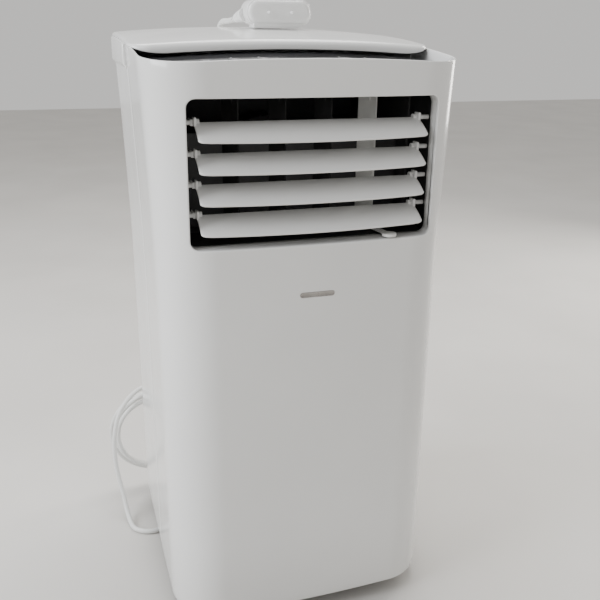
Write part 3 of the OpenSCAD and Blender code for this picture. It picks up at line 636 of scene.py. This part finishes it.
def side_ledge(name, side):
    """Finger ledge along the top of a side wall, cut under at its lower edge."""
    y0, y1 = SEAM_Y + 1.2, HALF_D - REAR_R - 0.5
    ends = [(0.0, 1.6), (0.15, 0.8), (0.6, 0.3), (1.6, 0.0)]
    stations = [(y0 + d, inset) for d, inset in ends]
    stations += [(y0 + (y1 - y0) * k / 12, 0.0) for k in range(1, 12)]
    stations += [(y1 - d, inset) for d, inset in reversed(ends)]
    rings = []
    for y, inset in stations:
        top, low, out = rim_at(TOP_W / 2, y) - 0.15 - inset, LEDGE_Z + inset, LEDGE_X - inset
        section = [(172.2, top), (out - 1.0, top), (out - 0.3, top - 0.3), (out, top - 1.0), (out, low + 5.2),
                   (out - 0.25, low + 4.4), (out - 2.9, low + 0.3), (out - 3.5, low), (172.2, low)]
        rings.append([(side * x, y, z) for x, z in section])
    obj = add_piece("side_ledge_" + name, *loft(rings), "shell", slot="shell_white", sharp=25)
    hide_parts("handle_" + name)


def rear_shell():
    obj = add_piece("rear_casing_skin", *shell_solid(rear_plan, CASING_Z), "shell", slot="shell_white")
    soften(obj, 0.8)
    y0, y1 = 150, 180
    openings = [block((low[0], y0, low[1]), (high[0], y1, high[1])) for low, high in (FILTER_BOX, GRILLE_BOX)]
    openings.append(rod("y", (0, EXHAUST_Z), 72, y0, y1, 96))
    openings += [rod("y", (DRAIN_X, z), 8, y0, y1) for z in DRAIN_Z.values()]
    cut(obj, openings)
    shade(obj, 30)
    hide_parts("rear_casing")
    lip = 1.2
    collar = [(70, 155), (73, 155), (73, 173 - lip), (72.6, 172.7), (72, 173), (71, 173), (70.4, 172.7),
              (70, 173 - lip)]
    add_piece("exhaust_collar", *turned(collar, (0, EXHAUST_Z)), "shell", slot="shell_white")
    for name, z in DRAIN_Z.items():
        boss = [(6, 157), (9, 157), (9, 169), (8.6, 169.8), (8, 170), (6.6, 170), (6, 169.5)]
        add_piece("drain_boss_" + name, *turned(boss, (DRAIN_X, z), steps=48), "shell", slot="shell_white")
    side_ledge("left", -1)
    side_ledge("right", 1)
    rails = []
    for edge, up in ((FILTER_BOX[1][1], 1), (FILTER_BOX[0][1], -1)):
        for front, z0, z1 in ((166, 6.3, 9.3), (172.3, 3, 8)):
            zs = sorted((edge + up * z0, edge + up * z1))
            rails.append(round_box((-122, front, zs[0]), (120, 174, zs[1]), 0.5, 2))
    rails.append(round_box((-122, 166, 462), (-119, 174, 648), 0.5, 2))
    add_piece("filter_rails", *merge(*rails), "shell", slot="shell_white")


# ---------------------------------------------------------------- lid

def dome(x, y):
    """Height of the lid's crowned top."""
    return CROWN_Z - x * x / 3840 - (y - CROWN_Y) ** 2 / 3600


def lid_plan():
    """Outline of the lid, seen from above."""
    w, r, back = TOP_W / 2 + 1.4, 24.0, HALF_D + 0.4
    front = [(s / 30 * (w - r), LID_FRONT_Y - 3 * (1 - (s / 30) ** 2)) for s in range(-29, 30)]
    side = [(w, LID_FRONT_Y + r + (back - REAR_R - LID_FRONT_Y - r) * k / 16) for k in range(1, 16)]
    corner_y = LID_FRONT_Y + r
    return (arc(-w + r, corner_y, r, 180, 270, 16) + front + arc(w - r, corner_y, r, 270, 360, 16)
            + side + arc(w - REAR_R, back - REAR_R, REAR_R, 0, 90, 16)
            + [(s / 16 * (w - REAR_R), back) for s in range(15, -16, -1)]
            + arc(-w + REAR_R, back - REAR_R, REAR_R, 90, 180, 16) + [(-x, y) for x, y in reversed(side)])


def lid_under(x, y):
    """Height of the lid's lower edge: just over the walls' rim, and a lip between the walls in front."""
    over = rim_at(x, y) + 0.4
    if y > LID_FRONT_Y + 24:
        return over
    lip = LID_LIP_Z - RIM_ARCH * (2 * x / TOP_W) ** 2
    share = min(1.0, max(0.0, (abs(x) - 135) / (TOP_W / 2 - 135)))
    return lip + (over - lip) * share ** 2


def lid():
    edge = lid_plan()
    middle = Vector((0, 60))

    def drawn_in(point, inset):
        """A point of the outline moved inset millimetres towards the lid's middle."""
        away = Vector(point) - middle
        return tuple(middle + away * (1 - inset / away.length))

    def towards(point, share):
        return tuple(middle + (Vector(point) - middle) * (1 - share))

    spread = [0.04, 0.07, 0.11, 0.16, 0.22, 0.3, 0.4, 0.5, 0.6, 0.7, 0.8, 0.9, 0.97]
    rings = []
    for share in reversed(spread):
        rings.append([(x, y, dome(x, y) - 3) for x, y in (towards(p, share) for p in edge)])
    for inset, lift in ((3.0, 0.0), (0.5, 0.0), (0.1, 0.1), (0.0, 0.3)):
        rings.append([(*drawn_in(p, inset), lid_under(*p) + lift) for p in edge])
    for k in range(9):
        a = math.pi / 2 * k / 8
        ring = []
        for p in edge:
            roll = min(7.0, 0.8 * (dome(*p) - lid_under(*p)))
            q = drawn_in(p, 1.4 * roll * (1 - math.cos(a)))
            ring.append((*q, dome(*q) - roll * (1 - math.sin(a))))
        rings.append(ring)
    for share in spread[1:]:
        rings.append([(x, y, dome(x, y)) for x, y in (towards(p, share) for p in edge)])
    obj = add_piece("lid_dome", *loft(rings), "shell", slot="shell_white", sharp=60)
    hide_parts("top_lid")


# ---------------------------------------------------------------- louvers

def blade_section(chord, thick=BLADE_T, arc_r=75.0):
    """Closed section of a blade from its pivot forwards: (forward, up)."""
    half = math.asin(min(0.9, chord / 2 / arc_r))
    rise = arc_r * (1 - math.cos(half))
    steps = 14
    spots = [k / steps for k in range(steps + 1)]

    def crest(s):
        return rise * (1 - (2 * s - 1) ** 2)

    nose = [(chord - 0.3 + 1.45 * math.cos(a), -thick / 2 + thick / 2 * math.sin(a))
            for a in (math.radians(d) for d in (60, 30, 0, -30, -60))]
    top = [(s * (chord - 1), crest(s)) for s in spots]
    low = [(s * (chord - 1), crest(s) - thick) for s in reversed(spots)]
    return top + nose + low


def louver(k):
    """One blade with its ends' bosses and pins, and the crank that the link moves."""
    hw = LOUVER_HW
    z = PIVOT_Z[k]
    cos_t, sin_t = math.cos(LOUVER_TILT), math.sin(LOUVER_TILT)
    ends = [hw, hw - 0.4, hw - 1.6, hw - 4]
    stations = [-x for x in ends] + [hw * s / 20 for s in range(-18, 19)] + ends[::-1]
    rings = []
    for x in stations:
        inset = max(0.0, abs(x) - (hw - 4))
        chord = min(LOUVER_CHORD, (PIVOT_Y - face_y(x, z) - 1.2) / cos_t) - inset * inset * 0.12
        thin = BLADE_T - (1.1 if abs(x) == hw else 0.35 if abs(x) > hw - 1 else 0)
        ring = []
        for forward, up in blade_section(chord, thin):
            up -= (BLADE_T - thin) / 2
            ring.append((x, PIVOT_Y - forward * cos_t - up * sin_t, z - forward * sin_t + up * cos_t))
        rings.append(ring)
    solids = [loft(rings)]
    for side in (-1, 1):
        boss = sorted((side * (hw - 6), side * (hw + 1)))
        solids.append(rod("x", (PIVOT_Y, z), 3.6, *boss, 32))
        pin = sorted((side * hw, side * (OUTLET_HW + 4.8)))
        solids.append(rod("x", (PIVOT_Y, z), 2.5, *pin, 32))
        tab = sorted((side * (hw - 2.2), side * (hw + 0.6)))
        solids.append(round_box((tab[0], PIVOT_Y - 8.5, z - 3.5), (tab[1], PIVOT_Y + 3.4, z + 5.5), 0.9, 3))
    solids.append(round_box((-hw - 3.5, PIVOT_Y - 3.2, z - 3.2), (-hw - 1, PIVOT_Y + 14.2, z + 3.2), 0.8, 3))
    solids.append(rod("x", (CRANK_Y, z), 1.8, -134.4, -hw - 1.5, 24))
    name = f"louver_{k + 1}"
    obj = add_piece(name + "_blade", *merge(*solids), "louver", name, "louver_white", 40)
    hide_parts(name)


# ---------------------------------------------------------------- deck marks, badge, filter mesh

DECK_SLOPE = math.radians(3.6)
BUTTON_Y = -112.0
BUTTON_X = [-105, -75, -45, 45, 75, 105]


def on_deck(x, y, across, along, lift):
    """A point of the deck near (x, y): across and along its surface, lift above it."""
    base = RIM_Z - 6 + (y + HALF_D) * math.tan(DECK_SLOPE) - RIM_ARCH * (2 * x / TOP_W) ** 2
    return (x + across, y + along * math.cos(DECK_SLOPE) - lift * math.sin(DECK_SLOPE),
            base + along * math.sin(DECK_SLOPE) + lift * math.cos(DECK_SLOPE))


def stroke(points, width, x, y, lift):
    """A flat printed line through points on the deck, as a thin raised strip."""
    rings = []
    for i, (u, v) in enumerate(points):
        a, b = points[max(0, i - 1)], points[min(len(points) - 1, i + 1)]
        way = Vector((b[0] - a[0], b[1] - a[1])).normalized()
        side = Vector((-way.y, way.x)) * width / 2
        rings.append([on_deck(x, y, u + side.x, v + side.y, lift - 0.05),
                      on_deck(x, y, u + side.x, v + side.y, lift + 0.08),
                      on_deck(x, y, u - side.x, v - side.y, lift + 0.08),
                      on_deck(x, y, u - side.x, v - side.y, lift - 0.05)])
    return loft(rings)


GLYPHS = {
    "power": [arc(0, 0, 2.8, 120, 420, 18), [(0, 0.6), (0, 3.6)]],
    "mode": [[(-3, 2), (3, 2)], [(-3, 0), (3, 0)], [(-3, -2), (3, -2)]],
    "fan": [arc(0, 1.6, 1.6, -90, 90, 10), arc(0, -1.6, 1.6, 90, 270, 10), arc(1.6, 0, 1.6, 180, 360, 10),
            arc(-1.6, 0, 1.6, 0, 180, 10)],
    "up": [[(-2.6, -1.2), (0, 1.6), (2.6, -1.2)]],
    "down": [[(-2.6, 1.2), (0, -1.6), (2.6, 1.2)]],
    "timer": [arc(0, 0, 2.9, 0, 360, 24), [(0, 2.0), (0, 0), (1.6, 0)]],
}


def button_marks():
    for name, x in zip(BUTTONS, BUTTON_X):
        lines = [stroke(points, 0.55, x, BUTTON_Y, 0.9) for points in GLYPHS[name]]
        add_piece("mark_" + name, *merge(*lines), "mark", "button_" + name)
    lights = []
    for x in (-75, -45, 45, 75):
        dot = arc(0, 0, 1.0, 0, 345, 23)
        rings = [[on_deck(x, BUTTON_Y + 20, u, v, lift) for u, v in dot] for lift in (-0.4, 0.12)]
        lights.append(loft(rings))
    add_piece("panel_lights", *merge(*lights), "mark")


def badge():
    """A plain slim inlay on the front, without any lettering."""
    z, half, r = 432.0, 20.0, 3.1
    rings = []
    for grow, lift in ((0, -0.4), (0, 0.25), (-0.25, 0.45), (-0.7, 0.5), (-1.0, 0.3), (-2.4, 0.3)):
        path = arc(half - r, z, r + grow, -90, 90, 12) + arc(-half + r, z, r + grow, 90, 270, 12)
        rings.append([(x, face_y(x, z) - lift, w) for x, w in path])
    verts, faces = loft(rings, False)
    count = len(rings[0])
    faces.append(tuple(range(len(verts) - count, len(verts))))
    add_piece("front_badge", verts, faces, "badge", sharp=50)


def filter_mesh():
    """Woven screens behind the slats of the two rear panels."""
    for name, body, hw, z0, z1, y in (("upper", "upper_filter", 110, 472, 638, 167.9),
                                      ("lower", "root", 109, 70, 150, 164.4)):
        verts, faces = block((-hw, y, z0), (hw, y + 0.3, z1))
        add_piece(f"{name}_screen", verts, faces, "weave", body)


# ---------------------------------------------------------------- cord and plug

def cord():
    path = cord_path()
    curve = bpy.data.curves.new("power_cord", "CURVE")
    curve.dimensions = "3D"
    curve.bevel_depth = CORD_D / 2 * MM
    curve.bevel_resolution = 5
    curve.use_fill_caps = True
    spline = curve.splines.new("POLY")
    spline.points.add(len(path) - 1)
    for point, spot in zip(spline.points, path):
        point.co = (*spot, 1)
    spline.use_smooth = True
    obj = bpy.data.objects.new("power_cord", curve)
    bpy.context.scene.collection.objects.link(obj)
    curve.materials.append(MATERIALS["cord"])
    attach(obj, "root")
    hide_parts("cord_loop", "cord_coil", "cord_lead")
    body = plug()


def capsule(x, y0, y1, z, hw, hh, r, rounding, steps=8):
    """Rounded bar along Y, its ends softened: half width hw, half height hh, corner radius r."""
    rings = []
    count = 10
    for j in range(2 * count + 1):
        a = math.pi / 2 * (j / count - 1)
        inset = rounding * (1 - math.cos(a))
        if j == count:
            spots = [y0 + rounding, (y0 + y1) / 2, y1 - rounding]
        else:
            spots = [(y0 + rounding if j < count else y1 - rounding) + rounding * math.sin(a)]
        for spot in spots:
            ring = []
            for corner, (sx, sz) in enumerate(((1, 1), (-1, 1), (-1, -1), (1, -1))):
                for k in range(steps + 1):
                    t = math.pi / 2 * (corner + k / steps)
                    ring.append((x + sx * (hw - r) + (r - inset) * math.cos(t), spot,
                                 z + sz * (hh - r) + (r - inset) * math.sin(t)))
            rings.append(ring)
    return loft(rings)


def plug():
    """Leakage-protection plug: rounded body with a moulded band, a foot, two recessed dots and a boot."""
    x, y, z = PLUG
    hw, hh, hd = 41.0, 15.0, 20.0
    parts = [capsule(x, y - hd, y + hd, z, hw, hh, 14, 7),
             capsule(x, y - hd + 3, y + hd - 3, z, hw + 0.5, hh + 0.4, 14, 2)]
    parts.append(round_box((x - 33.5, y - 18, z - 18.4), (x + 29.5, y + 5, z - 12), 1.5, 4))
    start, end = Vector(BOOT_START), Vector(LEAD_ROUTE[-1])
    way = (end - start).normalized()
    side = way.cross(Vector((0, 0, 1))).normalized()
    up = side.cross(way)
    rings = []
    boot = [(-6, 8), (0, 8), (2, 8), (3, 7.2), (4.5, 7.2), (5.5, 7.6), (7, 7.2), (8, 6.4), (9.5, 6.4),
            (10.5, 6.8), (12, 6.4), (13, 5.6), (14.5, 5.6), (15.5, 6.0), (17, 5.6), (18, 4.9), (22, 4.4),
            (24, 4.0)]
    for along, r in boot:
        ring = []
        for k in range(24):
            a = 2 * math.pi * k / 24
            ring.append(tuple(start + way * along + side * r * math.cos(a) + up * r * math.sin(a)))
        rings.append(ring)
    parts.append(loft(rings))
    obj = add_piece("plug_body", *merge(*parts), "plug", slot="plug_white", sharp=40)
    cut(obj, [rod("y", (x + s * DOT_X, z), 2, y - 30, y - hd + 4, 24) for s in (-1, 1)])
    shade(obj, 40)
    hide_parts("plug")
    dots = [rod("y", (x + s * DOT_X, z), 1.9, y - hd + 3, y - hd + 5, 24) for s in (-1, 1)]
    add_piece("plug_screws", *merge(*dots), "screw")
    return obj


# ---------------------------------------------------------------- stage

def area_light(name, spot, target, size, power, colour):
    data = bpy.data.lights.new(name, "AREA")
    data.shape = "RECTANGLE"
    data.size, data.size_y = size
    data.energy = power
    data.color = colour
    obj = bpy.data.objects.new(name, data)
    bpy.context.scene.collection.objects.link(obj)
    obj.location = spot
    obj.rotation_euler = (Vector(target) - Vector(spot)).to_track_quat("-Z", "Y").to_euler()


def stage():
    mesh = bpy.data.meshes.new("floor")
    mesh.from_pydata([(-6, -6, 0), (6, -6, 0), (6, 6, 0), (-6, 6, 0)], [], [(0, 1, 2, 3)])
    floor = bpy.data.objects.new("floor", mesh)
    bpy.context.scene.collection.objects.link(floor)
    mat = new_material("pale_floor", (0.62, 0.60, 0.57), 0.6)
    vary_colour(mat, (0.60, 0.58, 0.55), (0.64, 0.62, 0.59), 3)
    mesh.materials.append(mat)
    world = bpy.data.worlds.new("studio")
    world.use_nodes = True
    world.node_tree.nodes["Background"].inputs["Color"].default_value = (0.78, 0.77, 0.75, 1)
    world.node_tree.nodes["Background"].inputs["Strength"].default_value = 0.88
    bpy.context.scene.world = world
    area_light("window_left", (-2.2, -0.2, 1.5), (0, 0, 0.4), (1.6, 1.8), 74, (0.93, 0.96, 1.0))
    area_light("ceiling", (0.2, 0.7, 2.4), (0, 0, 0.6), (1.6, 1.2), 42, (1.0, 0.99, 0.97))
    area_light("right_edge", (1.7, 0.8, 1.0), (0.1, 0, 0.4), (0.5, 1.4), 20, (1.0, 0.97, 0.92))


front_shell()
rear_shell()
lid()
for index in range(4):
    louver(index)
button_marks()
badge()
filter_mesh()
cord()
stage()
